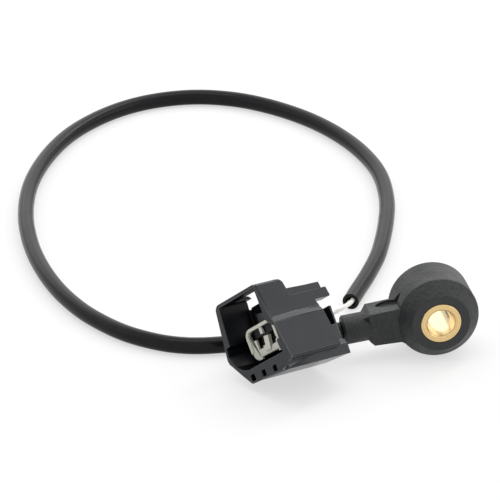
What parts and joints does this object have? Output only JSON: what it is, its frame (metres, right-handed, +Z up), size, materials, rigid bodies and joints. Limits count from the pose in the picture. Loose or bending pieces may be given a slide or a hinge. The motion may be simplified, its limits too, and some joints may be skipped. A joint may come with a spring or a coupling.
{
  "type": "engine knock sensor",
  "caption": "Black ring-shaped engine knock sensor with a brass bolt sleeve, a looped cable and a black connector with an ivory insert.",
  "frame": {"origin": "on the axis of the bolt bore, in the plane of the base face", "axes": "+Y along the bore, out of the base face towards the engine; +Z up from the surface it lies on; the arm runs towards -X"},
  "size_m": [0.1264, 0.2371, 0.0328],
  "materials": {
    "body_plastic": "matt, fine moulded grain",
    "brass": "turned, satin",
    "contact_metal": "satin",
    "insulator": "matt film",
    "piezo": "matt, fired",
    "steel": "machined",
    "jacket": "satin",
    "core": "satin",
    "plug_plastic": "satin gloss",
    "ivory": "satin",
    "seal": "matt"
  },
  "bodies": {
    "root": {"sensor_housing": "body_plastic", "brass_sleeve": "brass", "lower_insulator": "insulator", "lower_contact": "contact_metal", "piezo_ring": "piezo", "upper_contact": "contact_metal", "upper_insulator": "insulator", "seismic_mass": "steel", "spring_washer": "steel", "clamp_nut": "steel", "sensor_crimp_a": "contact_metal", "sensor_crimp_b": "contact_metal", "cable_jacket": "jacket", "wire_a": "core", "wire_b": "core", "connector_housing": "plug_plastic", "terminal_retainer": "ivory", "plug_terminal_a": "contact_metal", "plug_terminal_b": "contact_metal", "wire_seal_a": "seal", "wire_seal_b": "seal"}
  },
  "joints": []
}
